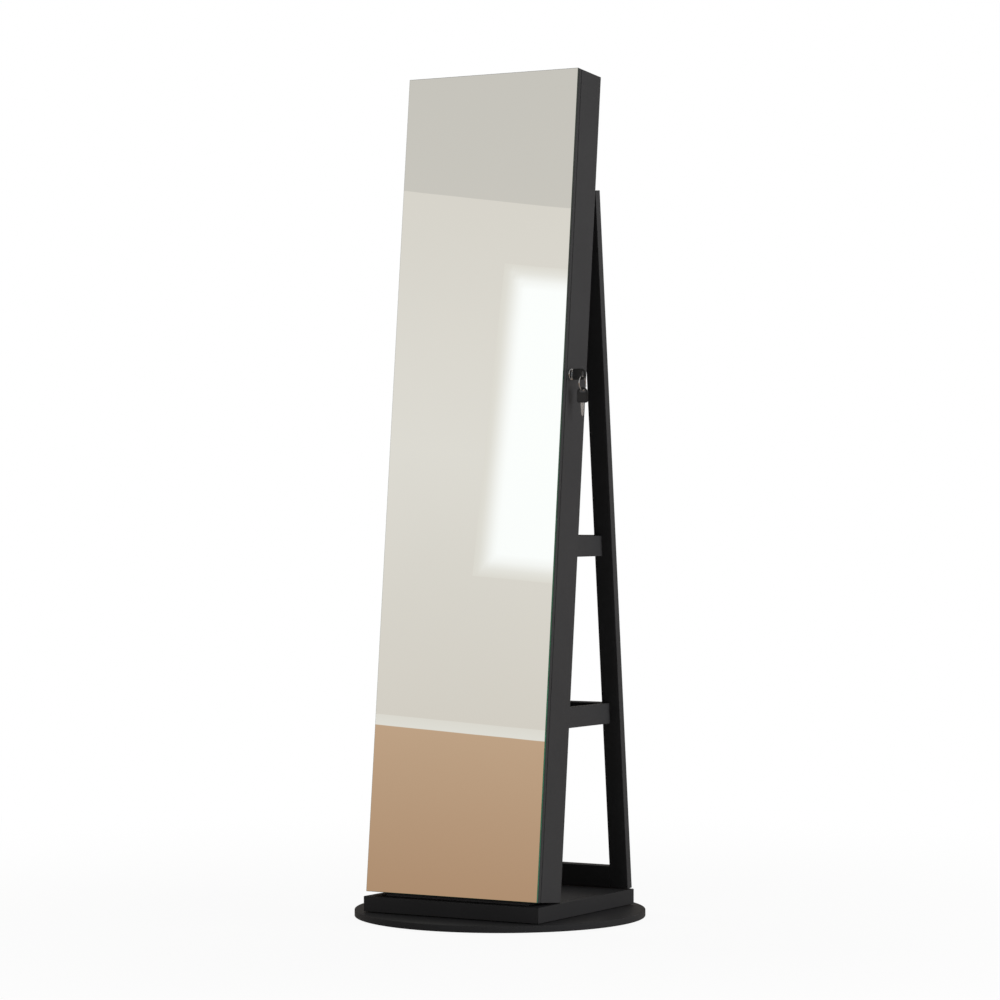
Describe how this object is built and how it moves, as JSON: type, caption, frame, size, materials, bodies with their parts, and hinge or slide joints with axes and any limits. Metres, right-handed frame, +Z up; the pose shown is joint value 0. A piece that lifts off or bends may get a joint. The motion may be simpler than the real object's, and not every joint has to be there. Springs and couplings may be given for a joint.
{
  "type": "swivel mirrored jewelry cabinet",
  "caption": "Free-standing black A-frame jewelry cabinet: a leaning lockable cabinet with a full-face mirror door, open trays behind, turning on a round base.",
  "frame": {"origin": "on the ground under the centre of the round base", "axes": "+Z up, -Y the way the mirror faces, +X towards the lock side"},
  "size_m": [0.535, 0.535, 1.5467],
  "materials": {
    "black_board": "satin black laminate on fibreboard",
    "mirror": "silvered float glass",
    "chrome": "polished",
    "steel": "satin",
    "key_plastic": "moulded",
    "rubber": "matt",
    "nylon": "natural",
    "velvet": "short black pile"
  },
  "bodies": {
    "base": {"base_disc": "black_board", "base_pad_ring": "rubber", "bearing_lower_ring": "steel", "bearing_glide_ring": "nylon"},
    "turning_cabinet": {"apex_cleat": "black_board", "back_lining": "velvet", "bearing_upper_ring": "steel", "bracelet_rod": "velvet", "cabinet_back": "black_board", "cabinet_bottom": "black_board", "cabinet_left_side": "black_board", "cabinet_right_side": "black_board", "cabinet_top": "black_board", "cabinet_wedge": "black_board", "hinge_lower_box_leaf": "steel", "hinge_lower_pin": "steel", "hinge_middle_box_leaf": "steel", "hinge_middle_pin": "steel", "hinge_upper_box_leaf": "steel", "hinge_upper_pin": "steel", "lock_housing": "chrome", "lock_nut": "steel", "lower_shelf": "black_board", "lower_tray_floor": "black_board", "lower_tray_left_rail": "black_board", "lower_tray_right_rail": "black_board", "magnet_catch": "key_plastic", "middle_shelf": "black_board", "necklace_hook_rail": "black_board", "plinth_front_apron": "black_board", "plinth_left_apron": "black_board", "plinth_rear_apron": "black_board", "plinth_right_apron": "black_board", "plinth_top": "black_board", "rear_bottom_rail": "black_board", "rear_left_stile": "black_board", "rear_lower_rail": "black_board", "rear_right_stile": "black_board", "rear_top_rail": "black_board", "rear_upper_rail": "black_board", "ring_pad": "velvet", "upper_shelf": "black_board", "upper_tray_floor": "black_board", "upper_tray_left_rail": "black_board", "upper_tray_right_rail": "black_board"},
    "mirror_door": {"mirror_glass": "mirror", "door_panel": "black_board", "lock_strike": "steel", "magnet_plate": "steel", "hinge_lower_door_leaf": "steel", "hinge_middle_door_leaf": "steel", "hinge_upper_door_leaf": "steel"},
    "lock_core": {"lock_plug": "chrome", "lock_cam": "steel", "key_blade": "steel", "key_head": "key_plastic"},
    "ring": {"key_ring": "chrome"},
    "spare_key": {"spare_key_head": "key_plastic", "spare_key_blade": "steel"}
  },
  "joints": [
    {"name": "swivel", "type": "hinge", "parent": "base", "child": "turning_cabinet", "pos_m": [0, 0, 0], "axis": [0, 0, 1], "continuous": true},
    {"name": "door_hinge", "type": "hinge", "parent": "turning_cabinet", "child": "mirror_door", "pos_m": [-0.1833, -0.16147, 0.05082], "axis": [0, -0.0991, -0.9951], "range_deg": [0, 110]},
    {"name": "lock_turn", "type": "hinge", "parent": "turning_cabinet", "child": "lock_core", "pos_m": [0.18, -0.05265, 0.99167], "axis": [-1, 0, 0], "range_deg": [0, 90]},
    {"name": "ring_hang", "type": "hinge", "parent": "lock_core", "child": "ring", "pos_m": [0.2042, -0.05342, 0.98395], "axis": [-1, 0, 0], "range_deg": [-90, 0]},
    {"name": "spare_key_swing", "type": "hinge", "parent": "ring", "child": "spare_key", "pos_m": [0.2042, -0.05342, 0.9627], "axis": [0, -1, 0], "range_deg": [-15, 60]}
  ],
  "couplings": [
    {"joint": "ring_hang", "follows": "lock_turn", "ratio": -1}
  ]
}
